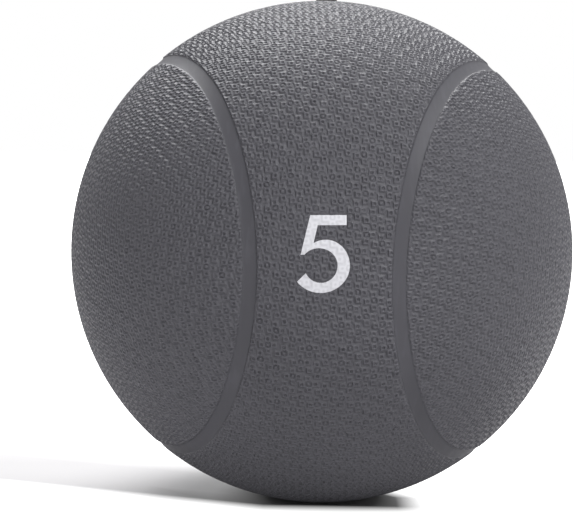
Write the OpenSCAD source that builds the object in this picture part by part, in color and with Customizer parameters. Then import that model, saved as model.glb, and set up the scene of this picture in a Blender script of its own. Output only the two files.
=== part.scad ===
// Rubber medicine ball, 5 kg: a weighted hollow ball with two side lobes,
// a belt between them and a smooth grip channel round each lobe.
// The ball stands on its lowest point at the origin, with its valve on top.
// +Z is up and the weight number faces -Y. All sizes are in millimetres.

/* [Ball] */
// Outside diameter of the ball
ball_d = 240; // [220:5:280]
// Thickness of the embossed rubber cover
cover_t = 4; // [3:0.5:6]
// Thickness of the weighted rubber shell under the cover
ballast_t = 17.5; // [12:0.5:20]
// Thickness of the nylon thread winding
winding_t = 1.5; // [1:0.1:3]
// Thickness of the butyl bladder
bladder_t = 1.5; // [1:0.1:3]

/* [Grip channels] */
// Average angle from the middle of a side lobe to its channel, in degrees
channel_angle = 63.2; // [60:0.1:66]
// How far the channels bow towards each other at front and back, in degrees
channel_bow = 13.3; // [8:0.1:15]
// How much each channel loop is squared off, in degrees
channel_square = 1.6; // [0:0.1:3]
// Width of the smooth strip in each channel
channel_w = 5.6; // [4:0.1:9]
// Depth of the strip below the cover
channel_depth = 0.5; // [0.3:0.1:2]

/* [Ballast joint] */
// Height of the lip that laps the two ballast halves at the equator
lip_h = 5; // [2:0.5:8]

/* [Valve] */
// Diameter of the round valve head that shows on the cover
valve_head_d = 10; // [9:0.5:14]
// Height of the valve head above the cover
valve_head_h = 1.3; // [0.5:0.1:2]
// Depth of the valve head below the cover's surface
valve_head_seat = 3; // [2:0.5:3]
// Diameter of the valve's stem
valve_stem_d = 8; // [7.5:0.5:8.5]
// Diameter of the valve's flange inside the bladder
valve_flange_d = 26; // [20:1:32]
// Thickness of the flange under the bladder
valve_flange_t = 2; // [1.5:0.5:3]
// Diameter of the reinforcing patch between bladder and winding
patch_d = 36; // [28:1:44]
// Thickness of the reinforcing patch
patch_t = 0.8; // [0.5:0.1:0.9]

/* [Valve plug] */
// Diameter of the plug's neck
plug_neck_d = 4.6; // [4:0.1:5]
// Diameter of the bulb that keeps the plug in the valve
plug_bulb_d = 6.4; // [5.6:0.1:6.8]
// Length of the whole plug
plug_len = 14; // [12:0.5:16]
// Length of the bulb
plug_bulb_len = 5; // [3:0.5:6]
// Depth of the plug's face below the top of the valve head
plug_sink = 0.5; // [0.2:0.1:1]
// Diameter of the hole for the pump needle
needle_hole_d = 2.2; // [2.1:0.1:2.4]
// Depth of the needle hole from the plug's face
needle_hole_len = 11; // [9:0.5:11]
// Diameter of the air passage from the plug to the bladder
air_hole_d = 3; // [2:0.5:4]

/* [Weight number] */
// Angle of the number's middle above the equator, in degrees
number_rise = 4.2; // [0:0.1:10]
// Anticlockwise turn of the number, in degrees
number_turn = 1.1; // [-3:0.1:3]
// Distance of the number's middle to the right of the ball's middle
number_side = -0.7; // [-5:0.1:5]
// Depth of the number's inlay in the cover
number_t = 0.3; // [0.2:0.1:0.6]

/* [Hidden] */

// Radii of the layers, from the outside in
ball_r = ball_d / 2;
ballast_r = ball_r - cover_t;
winding_r = ballast_r - ballast_t;
bladder_r = winding_r - winding_t;
hollow_r = bladder_r - bladder_t;

// A channel loop is cut as a cone of this many flat sides from the ball's centre
loop_sides = 96;
loop_step = 360 / loop_sides;
cone_reach = 1.5 * ball_r;
half_channel = channel_w / 2 / ball_r * 180 / PI;
// The tip softens the loop where it passes over the top and under the bottom
channel_tip = 0.3;

// Heights along the valve's axis, measured from the ball's centre
head_top = ball_r + valve_head_h;
head_base = ball_r - valve_head_seat;
plug_face = head_top - plug_sink;
plug_end = plug_face - plug_len;
bulb_top = plug_end + plug_bulb_len;
flange_base = sqrt(pow(hollow_r, 2) - pow(valve_flange_d / 2, 2)) - valve_flange_t;
head_round = 0.8;
cut = 1;

// Height of the middle of the figure's bowl, and the steps along each of its curves
bowl_mid = -4.7;
bowl_steps = 40;

cover_colour = "#56555b";
strip_colour = "#5b5a60";
ballast_colour = "#2f2e30";
thread_colour = "#e6e2d6";
bladder_colour = "#3a3536";
patch_colour = "#8d7a5c";
valve_colour = "#3f3e42";
plug_colour = "#2a2a2c";
number_colour = "#e9e9ee";

$fn = 96;

// ---- Channel loops ----

// Angle from the lobe's axis to the loop. turn runs round the lobe from the front.
function loop_angle(turn) =
    channel_angle + channel_bow * cos(2 * turn)
    - channel_square * cos(4 * turn) + channel_tip * cos(6 * turn);

// How fast the loop leaves a plain circle, as a tangent
function loop_slope(turn) =
    (-2 * channel_bow * sin(2 * turn) + 4 * channel_square * sin(4 * turn)
    - 6 * channel_tip * sin(6 * turn)) * PI / 180 / sin(loop_angle(turn));

// The loop moved square to itself by shift degrees, away from the lobe
function edge_angle(turn, shift) =
    loop_angle(turn) + shift * sqrt(1 + pow(loop_slope(turn), 2));

// Direction from the ball's centre to a point of the right-hand loop
function edge_direction(turn, shift) =
    let (away = edge_angle(turn, shift))
    [cos(away), -sin(away) * cos(turn), sin(away) * sin(turn)];

// Everything inside the right-hand loop, as a many-sided cone from the ball's centre
module lobe_cone(shift) {
    ring = [for (i = [0:loop_sides - 1]) cone_reach * edge_direction(i * loop_step, shift)];
    apex = loop_sides;
    cap = loop_sides + 1;
    sides = [for (i = [0:loop_sides - 1]) [apex, (i + 1) % loop_sides, i]];
    caps = [for (i = [0:loop_sides - 1]) [cap, i, (i + 1) % loop_sides]];
    polyhedron(
        points = concat(ring, [[0, 0, 0], [cone_reach, 0, 0]]),
        faces = concat(sides, caps)
    );
}

// ---- Shared shapes ----

// A hollow sphere about the origin
module shell(outer_r, inner_r) {
    difference() {
        sphere(r = outer_r);
        sphere(r = inner_r);
    }
}

// The hole that the valve's stem passes through
module stem_hole() {
    cylinder(h = ball_r + cut, d = valve_stem_d);
}

// Moves a sub-part modelled about the ball's centre to its place over the origin
module in_place() {
    translate([0, 0, ball_r]) children();
}

// ---- Cover ----

module lobe_panel() {
    intersection() {
        shell(ball_r, ballast_r);
        lobe_cone(-half_channel);
    }
}

module channel_strip() {
    difference() {
        intersection() {
            shell(ball_r - channel_depth, ballast_r);
            lobe_cone(half_channel);
        }
        lobe_cone(-half_channel);
    }
}

module cover_belt() {
    color(cover_colour)
    in_place()
    difference() {
        shell(ball_r, ballast_r);
        lobe_cone(half_channel);
        mirror([1, 0, 0]) lobe_cone(half_channel);
        stem_hole();
        translate([0, 0, head_base]) cylinder(h = ball_r, d = valve_head_d);
        number_inlay();
    }
}

module cover_lobe_left() {
    color(cover_colour)
    in_place() mirror([1, 0, 0]) lobe_panel();
}

module cover_lobe_right() {
    color(cover_colour)
    in_place() lobe_panel();
}

module channel_strip_left() {
    color(strip_colour)
    in_place() mirror([1, 0, 0]) channel_strip();
}

module channel_strip_right() {
    color(strip_colour)
    in_place() channel_strip();
}

// ---- Weighted shell ----

// Ring at the equator where the upper half laps inside the lower one
module ballast_lip() {
    translate([0, 0, -lip_h]) cylinder(h = lip_h + cut, r = (ballast_r + winding_r) / 2);
}

// Everything below the equator but the lip
module below_lap() {
    difference() {
        translate([-ball_r, -ball_r, -ball_r]) cube([ball_d, ball_d, ball_r]);
        ballast_lip();
    }
}

module ballast_half_upper() {
    color(ballast_colour)
    in_place()
    difference() {
        shell(ballast_r, winding_r);
        below_lap();
        stem_hole();
    }
}

module ballast_half_lower() {
    color(ballast_colour)
    in_place()
    intersection() {
        shell(ballast_r, winding_r);
        below_lap();
    }
}

// ---- Inner layers ----

module patch_disc() {
    intersection() {
        shell(bladder_r + patch_t, bladder_r);
        cylinder(h = ball_r, d = patch_d);
    }
}

module thread_winding() {
    color(thread_colour)
    in_place()
    difference() {
        shell(winding_r, bladder_r);
        patch_disc();
        stem_hole();
    }
}

module bladder() {
    color(bladder_colour)
    in_place()
    difference() {
        shell(bladder_r, hollow_r);
        stem_hole();
    }
}

module valve_patch() {
    color(patch_colour)
    in_place()
    difference() {
        patch_disc();
        stem_hole();
    }
}

// ---- Valve ----

// The space that the plug fills, with its neck carried up past the head
module plug_space() {
    translate([0, 0, plug_end]) cylinder(h = plug_bulb_len, d = plug_bulb_d);
    translate([0, 0, bulb_top]) cylinder(h = ball_r, d = plug_neck_d);
}

// The head's round disc, with its upper edge rounded over
module valve_head() {
    rotate_extrude() {
        translate([0, head_base])
            square([valve_head_d / 2, head_top - head_base - head_round]);
        translate([0, head_base])
            square([valve_head_d / 2 - head_round, head_top - head_base]);
        translate([valve_head_d / 2 - head_round, head_top - head_round])
            circle(r = head_round);
    }
}

module valve_housing() {
    color(valve_colour)
    in_place()
    difference() {
        union() {
            valve_head();
            translate([0, 0, hollow_r - valve_flange_t])
                cylinder(h = head_base - hollow_r + valve_flange_t, d = valve_stem_d);
            intersection() {
                translate([0, 0, flange_base]) cylinder(h = ball_r, d = valve_flange_d);
                sphere(r = hollow_r);
            }
        }
        plug_space();
        cylinder(h = ball_r, d = air_hole_d);
    }
}

module valve_plug() {
    color(plug_colour)
    in_place()
    difference() {
        union() {
            translate([0, 0, plug_end]) cylinder(h = plug_bulb_len, d = plug_bulb_d);
            translate([0, 0, bulb_top])
                cylinder(h = plug_face - bulb_top, d = plug_neck_d);
        }
        translate([0, 0, plug_face - needle_hole_len])
            cylinder(h = ball_r, d = needle_hole_d);
    }
}

// ---- Weight number ----

// Part of an oval whose upper and lower halves have their own
// [middle, half width, half height] and meet at the height of the bowl's middle
function bowl_arc(from, to, upper, lower) = [
    for (i = [0:bowl_steps])
        let (
            turn = from + (to - from) * i / bowl_steps,
            half = sin(turn) > 0 ? upper : lower
        )
        [half[0] + half[1] * cos(turn), bowl_mid + half[2] * sin(turn)]
];

// The figure five in the flat, about its middle: a top bar, a leaning stem
// and a bowl that is open to the left between the stem's foot and a slanting tip
module figure_five() {
    top = 15.8;
    bar_low = 11.7;
    bar_right = 9.5;
    foot = -0.3;
    foot_left = -9.2;
    stem_w = 4.05;
    stem_lean = 0.243;
    top_left = foot_left + stem_lean * (top - foot);
    bar_and_stem = [
        [foot_left, foot], [top_left, top], [bar_right, top], [bar_right, bar_low],
        [top_left + stem_w - stem_lean * (top - bar_low), bar_low]
    ];
    outer = bowl_arc(120, -144, [0.95, 9.85, 10.5], [-1.1, 11.9, 11.15]);
    inner = bowl_arc(-154, 141, [-1.75, 7.55, 7.05], [-1.0, 6.8, 7.05]);
    polygon(concat(bar_and_stem, outer, inner));
}

// The figure sunk into the cover and flush with its surface
module number_inlay() {
    intersection() {
        shell(ball_r, ball_r - number_t);
        rotate([90 - number_rise, 0, 0])
            linear_extrude(height = ball_r + cut)
            translate([number_side, 0])
            rotate(number_turn)
            figure_five();
    }
}

module weight_number() {
    color(number_colour)
    in_place() number_inlay();
}

cover_belt();
cover_lobe_left();
cover_lobe_right();
channel_strip_left();
channel_strip_right();
ballast_half_upper();
ballast_half_lower();
thread_winding();
bladder();
valve_patch();
valve_housing();
valve_plug();
weight_number();
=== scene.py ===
"""Rubber medicine ball: an embossed belt and two embossed lobes with smooth grip
channels between them, a printed 5 and an inflation valve on top.

Lengths in this file are in millimetres about the ball's centre, and turn into
metres in the CAD frame when a mesh is made."""
import math

import bmesh
import bpy
import numpy as np
from mathutils import Matrix, Vector
from mathutils.geometry import delaunay_2d_cdt


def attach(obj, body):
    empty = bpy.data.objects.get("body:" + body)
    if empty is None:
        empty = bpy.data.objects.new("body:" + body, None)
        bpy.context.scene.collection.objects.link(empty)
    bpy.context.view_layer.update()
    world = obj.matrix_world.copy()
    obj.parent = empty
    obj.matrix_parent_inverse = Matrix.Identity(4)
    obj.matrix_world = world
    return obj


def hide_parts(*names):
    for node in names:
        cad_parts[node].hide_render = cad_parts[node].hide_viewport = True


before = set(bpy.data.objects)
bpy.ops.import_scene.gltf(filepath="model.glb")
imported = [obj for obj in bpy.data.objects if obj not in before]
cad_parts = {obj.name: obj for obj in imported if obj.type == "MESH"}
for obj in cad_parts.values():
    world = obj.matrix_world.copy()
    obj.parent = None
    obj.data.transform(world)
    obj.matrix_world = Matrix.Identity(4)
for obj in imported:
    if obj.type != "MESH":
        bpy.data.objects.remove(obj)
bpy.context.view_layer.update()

TAU = 2 * math.pi

# ---- Sizes, as in the CAD model ----

BALL_R = 120.0
BALLAST_R = 116.0
CHANNEL_ANGLE, CHANNEL_BOW, CHANNEL_SQUARE, CHANNEL_TIP = 63.2, 13.3, 1.6, 0.3
HALF_CHANNEL = 2.8
STRIP_R = 119.5
HEAD_R = 5.0
HEAD_BASE = 117.0
HEAD_TOP = 121.3
STEM_R = 4.0
HOLLOW_R = 95.5
FLANGE_R = 13.0
FLANGE_BASE = 92.6
PLUG_FACE = 120.8
PLUG_END = 106.8
BULB_TOP = 111.8
BULB_R = 3.2
NECK_R = 2.3
NEEDLE_R = 1.1
NEEDLE_END = 109.8
AIR_R = 1.5
NUMBER_RISE = math.radians(4.2)
NUMBER_TURN = math.radians(1.1)
NUMBER_SIDE = -0.7
BOWL_MID = -4.7         # height of the middle of the figure's bowl
LEAN = 0.243            # how far the figure's upright leans right as it rises

# ---- The cover's surface ----

PANEL_R = 119.58        # the panels' ground, between the pips
PIP_H = 0.46            # height of a pip above it
EDGE_ROUND = 0.15       # rounding of a panel's edge into its channel
PRINT_H = 0.08          # the print's thickness
PRINT_KEEP = 0.25       # how much of the embossing shows through the print

# ---- Mesh detail ----

RINGS = 360       # rings from a lobe's middle to its edge
LOOP = 6 * RINGS                    # points round each channel loop
ACROSS = 400      # steps across the belt
INNER_RINGS = 14                    # rings of a lobe's hidden inside
INNER_LOOP = 88    # points round the belt's hidden inside
INNER_ACROSS = 24
EDGE_STEPS = np.array([0.0, 0.05, 0.12, 0.26, 0.5, 0.84, 1.25])


# ---- Channel loops ----

def loop_angle(turn):
    """Angle from the lobe's axis to the loop, where turn runs from the front over the top."""
    return np.radians(CHANNEL_ANGLE + CHANNEL_BOW * np.cos(2 * turn)
                      - CHANNEL_SQUARE * np.cos(4 * turn) + CHANNEL_TIP * np.cos(6 * turn))


def loop_stretch(turn):
    """How much longer the loop is than a circle round the lobe's axis."""
    slope = np.radians(-2 * CHANNEL_BOW * np.sin(2 * turn) + 4 * CHANNEL_SQUARE * np.sin(4 * turn)
                       - 6 * CHANNEL_TIP * np.sin(6 * turn))
    return np.sqrt(1 + (slope / np.sin(loop_angle(turn))) ** 2)


def edge_angle(turn, shift):
    """The loop moved square to itself by shift millimetres, away from the lobe."""
    return loop_angle(turn) + shift / BALL_R * loop_stretch(turn)


def direction(away, turn):
    """Unit vectors at an angle away from +X and a turn round it."""
    return np.stack([np.cos(away), -np.sin(away) * np.cos(turn),
                     np.sin(away) * np.sin(turn)], -1)


def ramp(x, low, high):
    """A smooth step from 0 at low to 1 at high."""
    t = np.clip((x - low) / (high - low), 0, 1)
    return t * t * (3 - 2 * t)


# ---- Embossing ----
# The grip pattern is one motif, repeated evenly: a ring, four pits on raised pads, a
# groove in four steps and two short shallow grooves. Positions are in millimetres from
# the ring, across and up.

REPEAT = np.array([(3.2, 6.735), (-6.825, 3.47)])
REPEAT_AREA = REPEAT[0, 0] * REPEAT[1, 1] - REPEAT[0, 1] * REPEAT[1, 0]
LAP_REPEATS = (90, 42)      # repeats of each kind in one lap of the belt
LOBE_STRETCH = (1.08, 1.13) # the lobes' pattern against the belt's, across and up
PITS = [(-0.3, 2.6), (2.75, 0.1), (-2.75, -0.3), (0.2, -2.8)]
STEPS = [(-4.45, 0.4), (-4.4, -1.8), (-4.1, -2.1), (-1.9, -2.1), (-1.55, -2.5), (-1.45, -4.25),
         (-1.1, -4.6), (1.0, -4.6)]
SHALLOWS = [[(1.6, -2.1), (2.3, -1.6), (3.2, -1.5), (3.9, -1.8)],
            [(4.3, 0.9), (4.8, 0.2), (5.0, -0.6), (4.8, -1.3)]]


def drift(unit, pitch, seed):
    """An uneven field over the ball of about one pitch, with a spread of about 1."""
    rng = np.random.default_rng(seed)
    total = np.zeros(unit.shape[:-1])
    for _ in range(16):
        aim = rng.normal(size=3)
        wave = aim / np.linalg.norm(aim) * TAU * BALL_R / (pitch * rng.uniform(0.7, 1.4))
        total += np.cos(unit @ wave + rng.uniform(0, TAU))
    return total / math.sqrt(8)


def groove_gap(x, y, path):
    """Distance from points to a groove's centre line."""
    gap = np.full(x.shape, 1e9)
    for (ax, ay), (bx, by) in zip(path, path[1:]):
        rx, ry = bx - ax, by - ay
        t = np.clip(((x - ax) * rx + (y - ay) * ry) / (rx * rx + ry * ry), 0, 1)
        gap = np.minimum(gap, np.hypot(x - ax - t * rx, y - ay - t * ry))
    return gap


def sink(sunk, depth, gap, core, reach):
    """Sinks the pattern to a depth at a gap of core or less, rising until reach."""
    return np.maximum(sunk, depth - depth * ramp(gap, core, reach))


def motif(part_a, part_b):
    """The pattern's height from 0 to 1, at shares of the two repeats."""
    part_a, part_b = part_a - np.round(part_a), part_b - np.round(part_b)
    sunk, pad = np.zeros(part_a.shape), np.zeros(part_a.shape)
    for i in (-1, 0, 1):
        for j in (-1, 0, 1):
            x = (part_a - i) * REPEAT[0, 0] + (part_b - j) * REPEAT[1, 0]
            y = (part_a - i) * REPEAT[0, 1] + (part_b - j) * REPEAT[1, 1]
            out = (np.abs(x) ** 3 + np.abs(y) ** 3) ** (1 / 3)
            sunk = sink(sunk, 0.75, np.abs(out - 0.98), 0.1, 0.5)
            pad = np.maximum(pad, 1 - ramp(np.abs(out - 0.75), 0.75, 1.3))
            for across, up in PITS:
                gap = np.hypot(x - across, y - up)
                sunk = sink(sunk, 0.85, gap, 0.3, 0.85)
                side = np.maximum(np.abs(x - across), np.abs(y - up))
                pad = np.maximum(pad, 1 - ramp(side, 0.95, 1.5))
            sunk = sink(sunk, 0.8, groove_gap(x, y, STEPS), 0.1, 0.5)
            for path in SHALLOWS:
                sunk = sink(sunk, 0.6, groove_gap(x, y, path), 0.1, 0.5)
    return (0.55 + 0.45 * pad) * (1 - sunk)


def uneven(unit, part_a, part_b):
    """The pattern with a mould's unevenness: it wanders and its depth varies."""
    part_a = part_a + 0.018 * drift(unit, 9, 31)
    part_b = part_b + 0.018 * drift(unit, 9, 32)
    depth = 0.92 + 0.08 * drift(unit, 5, 33) + 0.08 * drift(unit, 1.7, 34)
    return np.clip(1 - depth * (1 - motif(part_a, part_b)), 0, 1.1)


def belt_emboss(unit):
    """The belt's embossing, with a whole number of repeats round the ball."""
    u = (math.pi / 2 - np.arccos(np.clip(unit[..., 0], -1, 1))) * BALL_R
    lap = np.arctan2(unit[..., 2], -unit[..., 1]) / TAU
    part_a = REPEAT[1, 1] / REPEAT_AREA * u + LAP_REPEATS[0] * lap
    part_b = -REPEAT[0, 1] / REPEAT_AREA * u + LAP_REPEATS[1] * lap
    return uneven(unit, part_a, part_b)


def lobe_emboss(away, turn, side):
    """A lobe's embossing, a tenth larger than the belt's."""
    u = -side * away * np.cos(turn) * BALL_R / LOBE_STRETCH[0]
    v = away * np.sin(turn) * BALL_R / LOBE_STRETCH[1]
    part_a = (REPEAT[1, 1] * u - REPEAT[1, 0] * v) / REPEAT_AREA
    part_b = (REPEAT[0, 0] * v - REPEAT[0, 1] * u) / REPEAT_AREA
    return uneven(direction(away, turn) * (side, 1, 1), part_a, part_b)


def edge_fade(gap):
    """How far the embossing has come up, gap millimetres from a panel's edge."""
    return ramp(gap, 0.1, 0.7)


def panel_radius(gap, pips):
    """Radius of a panel whose edge is gap millimetres away, with pips from 0 to 1."""
    short = np.clip(EDGE_ROUND - gap, 0, EDGE_ROUND)
    drop = EDGE_ROUND - np.sqrt(EDGE_ROUND ** 2 - short ** 2)
    return PANEL_R - drop + PIP_H * pips * edge_fade(gap)


# ---- The figure 5 ----

def bowl_arc(start, stop, upper, lower):
    """Part of an oval whose halves have their own (middle, half width, half height)."""
    points = []
    for degrees in np.linspace(start, stop, 41):
        turn = math.radians(degrees)
        middle, wide, high = upper if math.sin(turn) > 0 else lower
        points.append((middle + wide * math.cos(turn), BOWL_MID + high * math.sin(turn)))
    return points


def figure_outline():
    """The figure's outline in the flat, as in the CAD model."""
    foot_x, foot_y, end_x, bar_top, bar_base, upright = -9.2, -0.3, 9.5, 15.8, 11.7, 4.05
    top_x = foot_x + LEAN * (bar_top - foot_y)
    bar = [(foot_x, foot_y), (top_x, bar_top), (end_x, bar_top), (end_x, bar_base),
           (top_x + upright - LEAN * (bar_top - bar_base), bar_base)]
    outer = bowl_arc(120, -144, (0.95, 9.85, 10.5), (-1.1, 11.9, 11.15))
    inner = bowl_arc(-154, 141, (-1.75, 7.55, 7.05), (-1.0, 6.8, 7.05))
    flat = np.array(bar + outer + inner)
    c, s = math.cos(NUMBER_TURN), math.sin(NUMBER_TURN)
    return flat @ np.array([[c, s], [-s, c]]) + (NUMBER_SIDE, 0)


def figure_frame():
    """The figure's own axes: across, up and out of the ball."""
    c, s = math.cos(NUMBER_RISE), math.sin(NUMBER_RISE)
    return np.array([[1, 0, 0], [0, s, c], [0, -c, s]])


def outline_gap(points, outline):
    """Distance from each flat point to the outline, negative inside it."""
    gap = np.full(len(points), 1e9)
    inside = np.zeros(len(points), bool)
    x, y = points[:, 0], points[:, 1]
    for a, b in zip(outline, np.roll(outline, -1, 0)):
        run = b - a
        t = np.clip(((points - a) @ run) / (run @ run), 0, 1)
        gap = np.minimum(gap, np.hypot(x - a[0] - t * run[0], y - a[1] - t * run[1]))
        crosses = (a[1] > y) != (b[1] > y)
        with np.errstate(divide="ignore", invalid="ignore"):
            inside ^= crosses & (x < a[0] + (y - a[1]) / (b[1] - a[1]) * run[0])
    return np.where(inside, -gap, gap)


OUTLINE = figure_outline()
FIGURE = figure_frame()


def under_print(unit):
    """How much of the embossing is kept, from 1 to PRINT_KEEP under the print."""
    flat = unit @ FIGURE.T * BALL_R
    near = (np.abs(flat[:, 0]) < 14) & (np.abs(flat[:, 1]) < 19) & (flat[:, 2] > 0)
    keep = np.ones(len(unit))
    gap = outline_gap(flat[near, :2], OUTLINE)
    keep[near] = PRINT_KEEP + (1 - PRINT_KEEP) * ramp(gap, 0.05, 0.7)
    return keep


# ---- Building meshes ----

class Shape:
    """Points, their embossing and faces, gathered up for one closed mesh."""

    def __init__(self):
        self.points, self.pips, self.tris, self.quads = [], [], [], []
        self.count = 0

    def add(self, points, pips=None):
        """Adds points and returns their numbers in the same arrangement."""
        flat = np.asarray(points, float).reshape(-1, 3)
        self.points.append(flat)
        self.pips.append(np.zeros(len(flat)) if pips is None else np.ravel(pips))
        ids = np.arange(self.count, self.count + len(flat))
        self.count += len(flat)
        return ids.reshape(np.shape(points)[:-1])

    def skin(self, grid, closed_rows=False, closed_columns=False, leave_out=None):
        """Quads over a grid of point numbers. leave_out marks cells with no quad."""
        if closed_rows:
            grid = np.concatenate([grid, grid[:1]], 0)
        if closed_columns:
            grid = np.concatenate([grid, grid[:, :1]], 1)
        cells = np.stack([grid[:-1, :-1], grid[1:, :-1], grid[1:, 1:], grid[:-1, 1:]], -1)
        if leave_out is not None:
            cells = cells[~leave_out]
        self.quads.append(cells.reshape(-1, 4))

    def rings(self, *loops):
        """Quads between closed loops of equal length."""
        self.skin(np.stack(loops), closed_columns=True)

    def zip_loops(self, a, a_turn, b, b_turn):
        """Triangles between two closed loops whose turns rise from the same start."""
        a_turn = np.append(a_turn, a_turn[0] + TAU)
        b_turn = np.append(b_turn, b_turn[0] + TAU)
        i = j = 0
        found = []
        while i < len(a) or j < len(b):
            if j == len(b) or (i < len(a) and a_turn[i + 1] <= b_turn[j + 1]):
                found.append((a[i % len(a)], a[(i + 1) % len(a)], b[j % len(b)]))
                i += 1
            else:
                found.append((a[i % len(a)], b[(j + 1) % len(b)], b[j % len(b)]))
                j += 1
        self.tris.append(np.array(found))

    def disc(self, rings):
        """Triangles over a disc whose ring k has 6k points, ring 0 its middle."""
        for k in range(len(rings) - 1):
            inner, outer = rings[k], rings[k + 1]
            for sector in range(6):
                o = outer[(sector * (k + 1) + np.arange(k + 2)) % len(outer)]
                n = inner[(sector * k + np.arange(k + 1)) % len(inner)]
                self.tris.append(np.stack([n, o[:-1], o[1:]], -1))
                if k:
                    self.tris.append(np.stack([n[:-1], o[1:-1], n[1:]], -1))

    def build(self, name, material, replaces, sharp=60):
        """Makes the mesh in metres, in the CAD frame, riding on the ball. Points that no
        face uses are dropped."""
        points = np.concatenate(self.points)
        pips = np.concatenate(self.pips)
        tris = np.concatenate(self.tris) if self.tris else np.zeros((0, 3), int)
        quads = np.concatenate(self.quads) if self.quads else np.zeros((0, 4), int)
        used = np.unique(np.concatenate([tris.ravel(), quads.ravel()]))
        number = np.full(len(points), -1)
        number[used] = np.arange(len(used))
        points, pips = points[used], pips[used]
        loops = number[np.concatenate([tris.ravel(), quads.ravel()])]
        starts = np.concatenate([np.arange(len(tris)) * 3,
                                 len(tris) * 3 + np.arange(len(quads)) * 4])
        metres = (points + (0, 0, BALL_R)) * 0.001
        mesh = bpy.data.meshes.new(name)
        mesh.vertices.add(len(points))
        mesh.vertices.foreach_set("co", metres.astype(np.float32).ravel())
        mesh.loops.add(len(loops))
        mesh.loops.foreach_set("vertex_index", loops.astype(np.int32))
        mesh.polygons.add(len(starts))
        mesh.polygons.foreach_set("loop_start", starts.astype(np.int32))
        mesh.update(calc_edges=True)
        mesh.validate()
        shell = bmesh.new()
        shell.from_mesh(mesh)
        bmesh.ops.recalc_face_normals(shell, faces=shell.faces)
        if shell.calc_volume(signed=True) < 0:
            bmesh.ops.reverse_faces(shell, faces=shell.faces)
        shell.to_mesh(mesh)
        shell.free()
        mesh.polygons.foreach_set("use_smooth", np.ones(len(mesh.polygons), bool))
        mesh.set_sharp_from_angle(angle=math.radians(sharp))
        layer = mesh.attributes.new("pips", "FLOAT", "POINT")
        layer.data.foreach_set("value", pips.astype(np.float32))
        mesh.materials.append(material)
        piece = bpy.data.objects.new(name, mesh)
        bpy.context.scene.collection.objects.link(piece)
        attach(piece, "root")
        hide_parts(*replaces)
        return piece


# ---- The cover's pieces ----

def side_walls(shape, edge, turn, side, shift):
    """Loops from a panel's edge down to the ballast. Returns the lowest one."""
    rim = direction(edge_angle(turn, shift), turn) * (side, 1, 1)
    middle = shape.add(rim * (BALLAST_R + 1.5))
    foot = shape.add(rim * BALLAST_R)
    shape.rings(edge, middle, foot)
    return foot


def turned_loop(rho, height, angle):
    """A level circle round the valve's axis."""
    return np.stack([rho * np.cos(angle), rho * np.sin(angle), np.full(len(angle), height)], -1)


def make_belt(material):
    """The belt: a grid from the right-hand channel to the left-hand one, with the
    valve's hole in its top."""
    shape = Shape()
    turn = np.arange(LOOP) * TAU / LOOP
    border = edge_angle(turn, HALF_CHANNEL + EDGE_STEPS[-1])
    inside = np.linspace(0, 1, ACROSS + 1)[1:-1]
    right = edge_angle(turn[:, None], HALF_CHANNEL + EDGE_STEPS[None, :])
    away = np.concatenate([
        right,
        border[:, None] + (math.pi - 2 * border)[:, None] * inside,
        math.pi - right[:, ::-1],
    ], 1)
    stretch = loop_stretch(turn)[:, None]
    gap = (np.minimum(away, math.pi - away) - edge_angle(turn, HALF_CHANNEL)[:, None]
           ) * BALL_R / stretch
    gap = np.maximum(gap, 0)
    unit = direction(away, np.repeat(turn[:, None], away.shape[1], 1)).reshape(-1, 3)
    gap = gap.ravel()
    pips = belt_emboss(unit) * under_print(unit)
    points = unit * panel_radius(gap, pips)[:, None]
    grid = shape.add(points.reshape(away.shape + (3,)),
                     (pips * edge_fade(gap)).reshape(away.shape))

    # The patch of cells at the top that the valve's hole takes the place of
    half_i, half_j = ((16, 13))
    mid_i, mid_j = LOOP // 4, away.shape[1] // 2
    gone = np.zeros((LOOP, away.shape[1] - 1), bool)
    gone[mid_i - half_i:mid_i + half_i, mid_j - half_j:mid_j + half_j] = True
    shape.skin(grid, closed_rows=True, leave_out=gone)
    patch = border_ids(grid, mid_i, mid_j, half_i, half_j)
    rim, rim_turn = valve_hole(shape, patch)

    # The walls along the channels, and the hidden inside
    right_foot = side_walls(shape, grid[:, 0], turn, 1, HALF_CHANNEL)
    left_foot = side_walls(shape, grid[:, -1], turn, -1, HALF_CHANNEL)
    inner_turn = np.arange(INNER_LOOP) * TAU / INNER_LOOP
    start = edge_angle(inner_turn, HALF_CHANNEL + 2)[:, None]
    inner_away = start + (math.pi - 2 * start) * np.linspace(0, 1, INNER_ACROSS + 1)
    inner_unit = direction(inner_away, np.repeat(inner_turn[:, None], INNER_ACROSS + 1, 1))
    inner = shape.add(inner_unit * BALLAST_R)
    i, j = INNER_LOOP // 4, INNER_ACROSS // 2
    gone = np.zeros((INNER_LOOP, INNER_ACROSS), bool)
    gone[i - 1:i + 1, j - 1:j + 1] = True
    shape.skin(inner, closed_rows=True, leave_out=gone)
    shape.zip_loops(right_foot, turn, inner[:, 0], inner_turn)
    shape.zip_loops(left_foot, turn, inner[:, -1], inner_turn)
    hole = border_ids(inner, i, j, 1, 1)
    around = np.concatenate(shape.points)[hole]
    angle = np.unwrap(np.arctan2(around[:, 1], around[:, 0]))
    if angle[-1] < angle[0]:
        hole, angle = hole[::-1], angle[::-1]
    first = np.argmin(np.mod(angle, TAU))
    hole, angle = np.roll(hole, -first), np.sort(np.mod(angle, TAU))
    shape.zip_loops(rim, rim_turn, hole, angle)
    return shape.build("cover_belt_embossed", material, ["cover_belt"])


def border_ids(grid, mid_i, mid_j, half_i, half_j):
    """The point numbers round a patch of a grid, in order."""
    low_i, high_i, low_j, high_j = mid_i - half_i, mid_i + half_i, mid_j - half_j, mid_j + half_j
    return np.concatenate([
        grid[low_i, low_j:high_j], grid[low_i:high_i, high_j],
        grid[high_i, high_j:low_j:-1], grid[high_i:low_i:-1, low_j],
    ])


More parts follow.
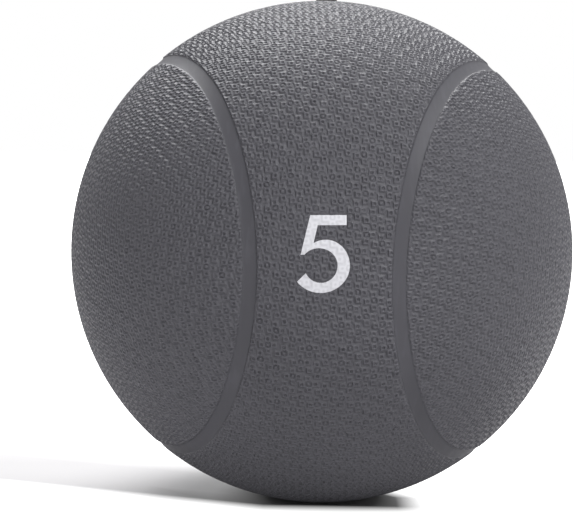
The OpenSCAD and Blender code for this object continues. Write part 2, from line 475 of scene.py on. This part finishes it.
def valve_hole(shape, patch):
    """Rings from a square patch to the valve's round hole, and the hole's wall.
    Returns the loop at the ballast and the turn of each of its points."""
    points = np.concatenate(shape.points)[patch]
    angle = np.mod(np.arctan2(points[:, 1], points[:, 0]), TAU)
    first = np.argmin(angle)
    step = angle[(first + 1) % len(angle)] - angle[first]
    if step < 0 or step > math.pi:
        patch, points, angle = patch[::-1], points[::-1], angle[::-1]
        first = np.argmin(angle)
    patch, points, angle = (np.roll(x, -first, 0) for x in (patch, points, angle))
    circle = HEAD_R * np.stack([np.cos(angle), np.sin(angle)], -1)
    loops = [patch]
    for share in (0.2, 0.4, 0.6, 0.75, 0.87, 0.95, 1.0):
        flat = points[:, :2] * (1 - share) + circle * share
        rho = np.hypot(flat[:, 0], flat[:, 1])
        unit = np.concatenate([flat, np.sqrt(BALL_R ** 2 - rho ** 2)[:, None]], 1) / BALL_R
        gap = np.maximum(rho - HEAD_R, 0)
        pips = belt_emboss(unit) * ramp(gap, 0.3, 1.2)
        drop = 0.3 * (1 - ramp(gap, 0, 0.5))
        radius = PANEL_R - drop + PIP_H * pips
        loops.append(shape.add(unit * radius[:, None], pips))
    for rho, height in ((HEAD_R, HEAD_BASE), (STEM_R, HEAD_BASE),
                        (STEM_R, math.sqrt(BALLAST_R ** 2 - STEM_R ** 2))):
        loops.append(shape.add(turned_loop(rho, height, angle)))
    shape.rings(*loops)
    return loops[-1], angle


def make_lobe(name, side, material, node):
    """A lobe: rings from its middle out to its channel."""
    shape = Shape()
    rings = []
    for k in range(RINGS + 1):
        turn = np.arange(max(6 * k, 1)) * TAU / max(6 * k, 1)
        away = edge_angle(turn, -(HALF_CHANNEL + EDGE_STEPS[-1])) * k / RINGS
        gap = (edge_angle(turn, -HALF_CHANNEL) - away) * BALL_R / loop_stretch(turn)
        pips = lobe_emboss(away, turn, side) * edge_fade(gap)
        unit = direction(away, turn) * (side, 1, 1)
        rings.append(shape.add(unit * panel_radius(gap, pips)[:, None], pips))
    shape.disc(rings)
    turn = np.arange(LOOP) * TAU / LOOP
    loops = [rings[-1]]
    for step in EDGE_STEPS[-2::-1]:
        away = edge_angle(turn, -(HALF_CHANNEL + step))
        pips = lobe_emboss(away, turn, side) * edge_fade(step)
        unit = direction(away, turn) * (side, 1, 1)
        radius = panel_radius(np.full(LOOP, step), pips)
        loops.append(shape.add(unit * radius[:, None], pips))
    shape.rings(*loops)
    foot = side_walls(shape, loops[-1], turn, side, -HALF_CHANNEL)
    inner = []
    for k in range(INNER_RINGS + 1):
        inner_turn = np.arange(max(6 * k, 1)) * TAU / max(6 * k, 1)
        away = edge_angle(inner_turn, -(HALF_CHANNEL + 2)) * k / INNER_RINGS
        inner.append(shape.add(direction(away, inner_turn) * (side, 1, 1) * BALLAST_R))
    shape.disc(inner)
    shape.zip_loops(foot, turn, inner[-1], inner_turn)
    return shape.build(name, material, [node])


def make_strip(name, side, material, node):
    """A channel strip: one cross-section swept round the loop, a little hollow on top."""
    shape = Shape()
    turn = np.arange(LOOP) * TAU / LOOP
    hollow, lip = 0.14, 0.06
    section = [(s * HALF_CHANNEL, STRIP_R - hollow * (1 - s * s) + lip * abs(s) ** 10)
               for s in (-1, -0.96, -0.88, -0.74, -0.5, -0.2, 0.2, 0.5, 0.74, 0.88, 0.96, 1)]
    section += [(HALF_CHANNEL, BALLAST_R), (0, BALLAST_R), (-HALF_CHANNEL, BALLAST_R)]
    loops = []
    for shift, radius in section:
        unit = direction(edge_angle(turn, shift), turn) * (side, 1, 1)
        loops.append(shape.add(unit * radius))
    shape.skin(np.stack(loops), closed_rows=True, closed_columns=True)
    return shape.build(name, material, [node])


def make_number(material):
    """The print: the figure's outline filled with small triangles that follow the ball."""
    edge = []
    for a, b in zip(OUTLINE, np.roll(OUTLINE, -1, 0)):
        steps = max(1, round(np.hypot(*(b - a)) / 0.45))
        edge += [a + (b - a) * i / steps for i in range(steps)]
    edge = np.array(edge)
    x, y = np.meshgrid(np.arange(-13, 13, 0.42), np.arange(-18, 18, 0.42))
    x = x + 0.21 * (np.arange(len(x)) % 2)[:, None]
    filling = np.stack([x.ravel(), y.ravel()], -1)
    filling = filling[outline_gap(filling, OUTLINE) < -0.22]
    flat = np.concatenate([edge, filling])
    rim = len(edge)
    links = [(i, (i + 1) % rim) for i in range(rim)]
    found = delaunay_2d_cdt([Vector(p) for p in flat], links, [], 1, 1e-6)
    flat = np.array([tuple(p) for p in found[0]])
    tris = np.array([f for f in found[2] if len(f) == 3])
    out = np.sqrt(BALL_R ** 2 - (flat ** 2).sum(1))
    unit = np.concatenate([flat, out[:, None]], 1) @ FIGURE / BALL_R
    pips = belt_emboss(unit) * PRINT_KEEP
    inset = np.clip(-outline_gap(flat, OUTLINE), 0, 1)
    radius = PANEL_R + PIP_H * pips + PRINT_H * (0.55 + 0.45 * ramp(inset, 0, 0.2))
    shape = Shape()
    top = shape.add(unit * radius[:, None], pips)
    foot = shape.add(unit * (PANEL_R - 0.12))
    shape.tris += [top[tris], foot[tris][:, ::-1]]
    shape.quads.append(np.array([(top[i], top[j], foot[j], foot[i]) for i, j in links]))
    return shape.build("number_print", material, ["weight_number"])


# ---- The valve ----

def lathe(name, profile, material, node, steps=96):
    """A profile of (radius, height) turned about the valve's axis. A profile that
    starts and ends on the axis is closed there, and any other closes on itself."""
    shape = Shape()
    angle = np.arange(steps) * TAU / steps
    loops, tips = [], []
    for rho, height in profile:
        if rho == 0:
            tips.append((len(loops), shape.add([[0, 0, height]])[0]))
        else:
            loops.append(shape.add(turned_loop(rho, height, angle)))
    if tips:
        shape.rings(*loops)
        for end, tip in ((loops[0], tips[0][1]), (loops[-1], tips[-1][1])):
            shape.tris.append(np.stack([end, np.roll(end, -1), np.full(steps, tip)], -1))
    else:
        shape.skin(np.stack(loops), closed_rows=True, closed_columns=True)
    return shape.build(name, material, [node], sharp=40)


def rounded(corner_r, corner_z, size, start, stop, steps=6):
    """Points of a rounded corner about its own centre, between two angles in degrees."""
    turns = np.radians(np.linspace(start, stop, steps + 1))
    return [(corner_r + size * math.cos(t), corner_z + size * math.sin(t)) for t in turns]


def make_valve(head_material, plug_material):
    """The valve's housing with a raised rim and a groove, and the plug in it."""
    seat = [(r, math.sqrt(HOLLOW_R ** 2 - r ** 2)) for r in (13, 11, 9, 7, 5.5, STEM_R)]
    housing = [(HEAD_R, HEAD_BASE)]
    housing += rounded(HEAD_R - 0.8, HEAD_TOP - 0.8, 0.8, 0, 90)
    housing += rounded(3.7, HEAD_TOP - 0.12, 0.12, 90, 180, 3)
    housing += rounded(3.35, HEAD_TOP - 0.28, 0.23, 0, -180, 6)
    housing += rounded(3.0, HEAD_TOP - 0.12, 0.12, 0, 90, 3)
    housing += rounded(NECK_R + 0.25, HEAD_TOP - 0.25, 0.25, 90, 180, 4)
    housing += [(NECK_R, BULB_TOP), (BULB_R, BULB_TOP), (BULB_R, PLUG_END), (AIR_R, PLUG_END),
                (AIR_R, FLANGE_BASE)]
    housing += rounded(FLANGE_R - 0.4, FLANGE_BASE + 0.4, 0.4, -90, 0, 4)
    housing += seat + [(STEM_R, HEAD_BASE)]
    lathe("valve_housing_turned", housing, head_material, "valve_housing")
    plug = [(0, PLUG_END)]
    plug += rounded(BULB_R - 0.5, PLUG_END + 0.5, 0.5, -90, 0, 4)
    plug += [(BULB_R, BULB_TOP - 0.2), (BULB_R - 0.2, BULB_TOP), (NECK_R, BULB_TOP)]
    plug += rounded(NECK_R - 0.2, PLUG_FACE - 0.2, 0.2, 0, 90, 4)
    plug += rounded(NEEDLE_R + 0.25, PLUG_FACE - 0.25, 0.25, 90, 180, 4)
    plug += [(NEEDLE_R, NEEDLE_END), (0, NEEDLE_END)]
    lathe("valve_plug_turned", plug, plug_material, "valve_plug")


# ---- Materials ----

class Nodes:
    """A short way to write one material's nodes."""

    def __init__(self, name):
        self.material = bpy.data.materials.new(name)
        self.material.use_nodes = True
        self.tree = self.material.node_tree
        self.shader = self.tree.nodes["Principled BSDF"]
        self.place = self.tree.nodes.new("ShaderNodeTexCoord").outputs["Object"]

    def node(self, kind, **settings):
        made = self.tree.nodes.new(kind)
        for key, value in settings.items():
            setattr(made, key, value)
        return made

    def link(self, value, socket):
        """Links an output, or sets a number or colour."""
        if isinstance(value, bpy.types.NodeSocket):
            self.tree.links.new(value, socket)
        else:
            socket.default_value = value

    def noise(self, scale, detail=3.0, rough=0.5, place=None):
        made = self.node("ShaderNodeTexNoise")
        self.link(self.place if place is None else place, made.inputs["Vector"])
        made.inputs["Scale"].default_value = scale
        made.inputs["Detail"].default_value = detail
        made.inputs["Roughness"].default_value = rough
        return made.outputs["Fac"]

    def cells(self, scale, feature="F1", output="Distance", place=None):
        made = self.node("ShaderNodeTexVoronoi", feature=feature)
        self.link(self.place if place is None else place, made.inputs["Vector"])
        made.inputs["Scale"].default_value = scale
        return made.outputs[output]

    def fit(self, value, low, high, to_low=0.0, to_high=1.0):
        """Maps a range onto another, and stops at its ends."""
        made = self.node("ShaderNodeMapRange")
        for socket, number in zip(("Value", "From Min", "From Max", "To Min", "To Max"),
                                  (value, low, high, to_low, to_high)):
            self.link(number, made.inputs[socket])
        return made.outputs["Result"]

    def math(self, operation, a, b=0.0):
        made = self.node("ShaderNodeMath", operation=operation)
        self.link(a, made.inputs[0])
        self.link(b, made.inputs[1])
        return made.outputs[0]

    def mix(self, share, a, b):
        """A colour between a and b."""
        made = self.node("ShaderNodeMix", data_type="RGBA")
        self.link(share, made.inputs[0])
        self.link(a, made.inputs[6])
        self.link(b, made.inputs[7])
        return made.outputs[2]

    def turned(self, *degrees, scale=(1, 1, 1)):
        """The object's coordinates, turned and stretched."""
        made = self.node("ShaderNodeMapping")
        self.link(self.place, made.inputs["Vector"])
        made.inputs["Rotation"].default_value = [math.radians(d) for d in degrees]
        made.inputs["Scale"].default_value = scale
        return made.outputs["Vector"]

    def bump(self, height, distance, normal=None, strength=1.0):
        made = self.node("ShaderNodeBump")
        made.inputs["Distance"].default_value = distance
        made.inputs["Strength"].default_value = strength
        self.link(height, made.inputs["Height"])
        if normal is not None:
            self.link(normal, made.inputs["Normal"])
        return made.outputs["Normal"]

    def finish(self, colour, roughness, normal, specular=0.5):
        self.link(colour, self.shader.inputs["Base Color"])
        self.link(roughness, self.shader.inputs["Roughness"])
        self.link(normal, self.shader.inputs["Normal"])
        self.shader.inputs["Specular IOR Level"].default_value = specular
        return self.material


def grey(level, cool=1.13):
    """A faintly blue dark grey."""
    return (level, level * 0.985, level * cool, 1)


def cover_rubber():
    """Embossed rubber: lighter and drier on the pips and darker between them, the darkness
    between them being painted shade, with a little dust and handling."""
    n = Nodes("rubber_embossed")
    pips = n.node("ShaderNodeAttribute", attribute_name="pips").outputs["Fac"]
    tops = n.fit(pips, 0.05, 0.95)
    shade = n.noise(14, 4, 0.55)
    fine = n.noise(1100, 4, 0.65)
    # Painted shade: the colour darkens where the embossing is low, in the pits and between the pips
    base = n.mix(tops, grey(0.06), grey(0.08))
    cloudy = n.mix(n.math("MULTIPLY", n.fit(shade, 0.45, 0.7), 0.3), base, grey(0.1))
    grainy = n.mix(n.fit(fine, 0.5, 0.75, 0, 0.12), cloudy, grey(0.2))
    sooty = n.mix(n.fit(fine, 0.25, 0.5, 0.2, 0), grainy, grey(0.03))
    rough = n.math("ADD", n.fit(fine, 0.3, 0.7, 0.46, 0.62), n.math("MULTIPLY", tops, -0.06))
    grain = n.bump(fine, 0.00025, n.bump(pips, 0.0004), 0.8)
    return n.finish(sooty, rough, grain, 0.4)


def channel_rubber():
    """Smooth rubber with faint flow marks from the mould."""
    n = Nodes("rubber_smooth")
    shade = n.noise(22, 4, 0.55)
    flow = n.noise(120, 2, 0.5, n.turned(0, 0, 0, scale=(3, 1, 0.4)))
    fine = n.noise(2200, 2, 0.5)
    colour = n.mix(n.fit(shade, 0.3, 0.7), grey(0.06), grey(0.073))
    worn = n.mix(n.math("MULTIPLY", n.fit(flow, 0.55, 0.75), 0.3), colour, grey(0.11))
    rough = n.fit(flow, 0.3, 0.7, 0.5, 0.6)
    grain = n.bump(fine, 0.00002, n.bump(flow, 0.00012, None, 0.35), 0.5)
    return n.finish(worn, rough, grain, 0.3)


def print_white():
    """White ink that has sunk a little into the embossing; painted shade makes it darker
    where the embossing under it is low.
    """
    n = Nodes("print_white")
    pips = n.node("ShaderNodeAttribute", attribute_name="pips").outputs["Fac"]
    fine = n.noise(1300, 3, 0.6)
    thin = n.fit(n.noise(330, 3, 0.6), 0.66, 0.8)
    # Painted shade: the ink is darker where the embossing under it is low
    colour = n.mix(n.fit(pips, 0.0, 0.28), (0.5, 0.5, 0.53, 1), (0.66, 0.66, 0.695, 1))
    worn = n.mix(n.math("MULTIPLY", thin, 0.35), colour, (0.35, 0.35, 0.38, 1))
    rough = n.fit(fine, 0.3, 0.7, 0.45, 0.6)
    return n.finish(worn, rough, n.bump(fine, 0.00003, None, 0.4), 0.4)


def valve_rubber(name, level):
    """Smooth satin rubber with handling marks."""
    n = Nodes(name)
    shade = n.noise(260, 4, 0.6)
    fine = n.noise(3000, 2, 0.5)
    colour = n.mix(n.fit(shade, 0.35, 0.7), grey(level * 0.8), grey(level * 1.25))
    rough = n.fit(shade, 0.3, 0.7, 0.38, 0.52)
    return n.finish(colour, rough, n.bump(fine, 0.00002, None, 0.4), 0.45)


def ballast_rubber():
    """Heavy filled rubber with pale grains of filler and small voids."""
    n = Nodes("rubber_filled")
    grains = n.fit(n.cells(420), 0.12, 0.3, 1.0, 0.0)
    speck = n.math("MULTIPLY", grains, n.fit(n.noise(300, 2, 0.5), 0.5, 0.62))
    shade = n.noise(30, 4, 0.6)
    base = n.mix(n.fit(shade, 0.3, 0.7), grey(0.02, 1.02), grey(0.036, 1.02))
    colour = n.mix(n.math("MULTIPLY", speck, 0.7), base, (0.2, 0.185, 0.165, 1))
    pits = n.fit(n.cells(170), 0.05, 0.2)
    grain = n.bump(n.noise(900, 3, 0.6), 0.0001, n.bump(pits, 0.0003, None, 0.6), 0.7)
    return n.finish(colour, n.fit(shade, 0.3, 0.7, 0.62, 0.8), grain, 0.4)


def wound_thread():
    """Nylon thread wound in bands that cross each other."""
    n = Nodes("thread_wound")
    layers = []
    for turns in ((0, 0, 0), (58, 20, 15), (-50, 35, 80), (80, -30, 40)):
        wave = n.node("ShaderNodeTexWave", bands_direction="Z")
        n.link(n.turned(*turns), wave.inputs["Vector"])
        wave.inputs["Scale"].default_value = 260
        wave.inputs["Distortion"].default_value = 0.6
        wave.inputs["Detail"].default_value = 1
        layers.append(wave.outputs["Fac"])
    height = layers[0]
    for k, layer in enumerate(layers[1:]):
        share = n.fit(n.noise(60 + 25 * k, 1, 0.4, n.turned(40 * k, 25, 10)), 0.46, 0.54)
        height = n.math("ADD", n.math("MULTIPLY", height, n.math("SUBTRACT", 1.0, share)),
                        n.math("MULTIPLY", layer, share))
    stain = n.fit(n.noise(24, 4, 0.6), 0.35, 0.75)
    threads = n.mix(height, (0.42, 0.39, 0.32, 1), (0.84, 0.81, 0.72, 1))
    colour = n.mix(n.math("MULTIPLY", stain, 0.25), threads, (0.55, 0.46, 0.3, 1))
    return n.finish(colour, n.fit(height, 0, 1, 0.75, 0.5), n.bump(height, 0.0003, None, 0.8), 0.4)


def bladder_rubber():
    """Butyl with a dusting of talc."""
    n = Nodes("rubber_butyl")
    talc = n.math("MULTIPLY", n.fit(n.noise(40, 5, 0.65), 0.45, 0.7), n.fit(n.noise(900, 2), 0.4, 0.7))
    base = n.mix(n.fit(n.noise(18, 3), 0.35, 0.7), (0.034, 0.029, 0.03, 1), (0.052, 0.044, 0.045, 1))
    colour = n.mix(n.math("MULTIPLY", talc, 0.4), base, (0.4, 0.39, 0.37, 1))
    rough = n.fit(talc, 0, 1, 0.36, 0.75)
    return n.finish(colour, rough, n.bump(n.noise(160, 3), 0.00015, None, 0.4), 0.45)


def patch_cloth():
    """Rubberised cotton: a plain weave, filled with rubber here and there."""
    n = Nodes("cloth_rubberised")
    weave = []
    for axis in "XY":
        wave = n.node("ShaderNodeTexWave", bands_direction=axis)
        n.link(n.place, wave.inputs["Vector"])
        wave.inputs["Scale"].default_value = 420
        wave.inputs["Distortion"].default_value = 0.4
        weave.append(wave.outputs["Fac"])
    height = n.math("MAXIMUM", *weave)
    threads = n.mix(height, (0.12, 0.08, 0.05, 1), (0.36, 0.27, 0.17, 1))
    colour = n.mix(n.fit(n.noise(90, 4, 0.6), 0.5, 0.7), threads, (0.06, 0.05, 0.045, 1))
    return n.finish(colour, n.fit(height, 0, 1, 0.9, 0.7), n.bump(height, 0.0002, None, 0.7), 0.35)


def dress(node, material):
    """Gives a carried-over CAD node its material."""
    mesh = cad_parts[node].data
    mesh.materials.clear()
    mesh.materials.append(material)


# ---- The ball ----

cover = cover_rubber()
channel = channel_rubber()
make_belt(cover)
make_lobe("lobe_left_embossed", -1, cover, "cover_lobe_left")
make_lobe("lobe_right_embossed", 1, cover, "cover_lobe_right")
make_strip("channel_left_smooth", -1, channel, "channel_strip_left")
make_strip("channel_right_smooth", 1, channel, "channel_strip_right")
make_number(print_white())
make_valve(valve_rubber("rubber_valve", 0.05), valve_rubber("rubber_plug", 0.024))
filled = ballast_rubber()
dress("ballast_half_upper", filled)
dress("ballast_half_lower", filled)
dress("thread_winding", wound_thread())
dress("bladder", bladder_rubber())
dress("valve_patch", patch_cloth())


# ---- Floor, light and camera ----

def make_floor():
    """A white floor with a painted shadow. A glow that only camera rays see makes it look
    plain white but for a painted shadow band that runs left from the ball with a sharp
    front edge, and its colour is darkened near the ball as painted shade."""
    mesh = bpy.data.meshes.new("floor")
    mesh.from_pydata([(-9, -9, 0), (9, -9, 0), (9, 9, 0), (-9, 9, 0)], [], [(0, 1, 2, 3)])
    n = Nodes("floor_white_painted_shadow")
    n.shader.inputs["Roughness"].default_value = 0.7
    n.shader.inputs["Specular IOR Level"].default_value = 0.1
    n.shader.inputs["Emission Color"].default_value = (1, 1, 1, 1)

    def spread(place, turn, size):
        """Distance from the middle of an oval on the floor, 1 at its edge."""
        oval = n.node("ShaderNodeMapping", vector_type="TEXTURE")
        n.link(n.place, oval.inputs["Vector"])
        oval.inputs["Location"].default_value = place
        oval.inputs["Rotation"].default_value = (0, 0, math.radians(turn))
        oval.inputs["Scale"].default_value = size
        length = n.node("ShaderNodeVectorMath", operation="LENGTH")
        n.link(oval.outputs["Vector"], length.inputs[0])
        return length.outputs["Value"]

    split = n.node("ShaderNodeSeparateXYZ")
    n.link(n.place, split.inputs[0])
    across, back = split.outputs["X"], split.outputs["Y"]
    contact = spread((0.003, -0.006, 0), 0, (1, 1, 1))
    beyond = spread((-0.2, 0.09, 0), 162, (0.26, 0.075, 1))

    # Distance behind the slanting line that the painted shadow's front edge follows
    behind = n.math("ADD", n.math("MULTIPLY", n.math("MINIMUM", across, -0.026), 0.33), back)

    # The painted shadow band: its front edge, its fade to the back and its right end
    right = n.math("ADD", across, n.math("MAXIMUM", back, -0.004))
    painted_shadow_band = n.math("MULTIPLY", n.fit(behind, -0.041, -0.029), n.fit(behind, 0.02, 0.12, 1.0, 0.0))
    painted_shadow_band = n.math("MULTIPLY", painted_shadow_band, n.fit(right, 0.034, 0.048, 1.0, 0.0))
    # Painted shadow: camera rays see a glow everywhere but in the band, so the band reads as shade
    seen = n.node("ShaderNodeLightPath").outputs["Is Camera Ray"]
    clear = n.math("MULTIPLY", seen, n.math("SUBTRACT", 1.0, painted_shadow_band))

    # Painted light: a weak glow that lifts the band away from the ball and towards the back, grading
    # the painted shadow, and a faint glow far from the ball
    lit = n.math("MULTIPLY", n.fit(contact, 0.026, 0.055, 0.0, 0.36), n.fit(beyond, 0.3, 1.6, 0.3, 1.0))
    lit = n.math("MULTIPLY", lit, n.fit(behind, -0.03, 0.05, 0.6, 2.2))
    far = n.fit(contact, 0.4, 1.4, 0.0, 0.15)
    glow = n.math("ADD", n.math("ADD", lit, far), clear)
    n.link(glow, n.shader.inputs["Emission Strength"])

    # Painted shade in the floor's colour: darker paper near the ball, where the light from in front
    # would reach under it, and darkest where the ball touches
    outside_painted_shade = n.math("MAXIMUM", n.fit(behind, -0.03, -0.015), n.fit(contact, 0.055, 0.09))
    paper_painted_shade = n.mix(outside_painted_shade, grey(0.25, 1), grey(0.55, 1))
    n.link(n.mix(n.fit(contact, 0.015, 0.05), grey(0.2, 1), paper_painted_shade), n.shader.inputs["Base Color"])
    mesh.materials.append(n.material)
    floor = bpy.data.objects.new("floor", mesh)
    bpy.context.scene.collection.objects.link(floor)


def make_world():
    """A white surround that the camera sees as plain white, dimmer on the left."""
    world = bpy.data.worlds.new("studio")
    bpy.context.scene.world = world
    world.use_nodes = True
    tree = world.node_tree
    tree.nodes.clear()
    new = tree.nodes.new
    out, mix = new("ShaderNodeOutputWorld"), new("ShaderNodeMixShader")
    seen, lit = new("ShaderNodeBackground"), new("ShaderNodeBackground")
    path, place = new("ShaderNodeLightPath"), new("ShaderNodeTexCoord")
    side, fit = new("ShaderNodeVectorMath"), new("ShaderNodeMapRange")
    seen.inputs["Color"].default_value = (1, 1, 1, 1)
    side.operation = "DOT_PRODUCT"
    side.inputs[1].default_value = Vector((0.45, 0.1, 0.88)).normalized()
    tree.links.new(place.outputs["Generated"], side.inputs[0])
    tree.links.new(side.outputs["Value"], fit.inputs["Value"])
    for socket, value in (("From Min", -0.9), ("From Max", 0.9), ("To Min", 0.1), ("To Max", 0.6)):
        fit.inputs[socket].default_value = value
    tree.links.new(fit.outputs["Result"], lit.inputs["Strength"])
    lit.inputs["Color"].default_value = (0.985, 0.99, 1, 1)
    tree.links.new(path.outputs["Is Camera Ray"], mix.inputs[0])
    tree.links.new(lit.outputs[0], mix.inputs[1])
    tree.links.new(seen.outputs[0], mix.inputs[2])
    tree.links.new(mix.outputs[0], out.inputs[0])


def softbox(name, place, size, energy):
    """A rectangular lamp that faces the ball's middle."""
    lamp = bpy.data.lights.new(name, "AREA")
    lamp.shape = "RECTANGLE"
    lamp.size, lamp.size_y = size
    lamp.energy = energy
    holder = bpy.data.objects.new(name, lamp)
    holder.location = place
    aim = Vector((0, 0, BALL_R * 0.001)) - Vector(place)
    holder.rotation_euler = aim.to_track_quat("-Z", "Y").to_euler()
    holder.visible_camera = False
    bpy.context.scene.collection.objects.link(holder)


def make_camera():
    """The camera, a little above the ball's middle and tilted by about a degree."""
    lens = bpy.data.cameras.new("camera")
    lens.lens = 93.04
    lens.sensor_width = 36
    lens.shift_x = -0.060697
    lens.shift_y = -0.008659
    right = Vector((0.99978, -0.00947, 0.01861))
    up = Vector((-0.01778, 0.08160, 0.99651))
    back = right.cross(up)
    camera = bpy.data.objects.new("camera", lens)
    place = Matrix((right, up, back)).transposed().to_4x4()
    place.translation = (-0.00789, -0.71757, 0.17862)
    camera.matrix_world = place
    bpy.context.scene.collection.objects.link(camera)
    bpy.context.scene.camera = camera


make_floor()
make_world()
softbox("softbox_top", (-0.15, 0.62, 1.15), (1.0, 0.6), 20)
softbox("softbox_key", (0.7, -0.55, 1.4), (0.45, 0.45), 14)
softbox("softbox_fill", (-0.1, -2.4, 0.9), (1.6, 1.2), 17)
make_camera()
bpy.context.scene.view_settings.view_transform = "Standard"
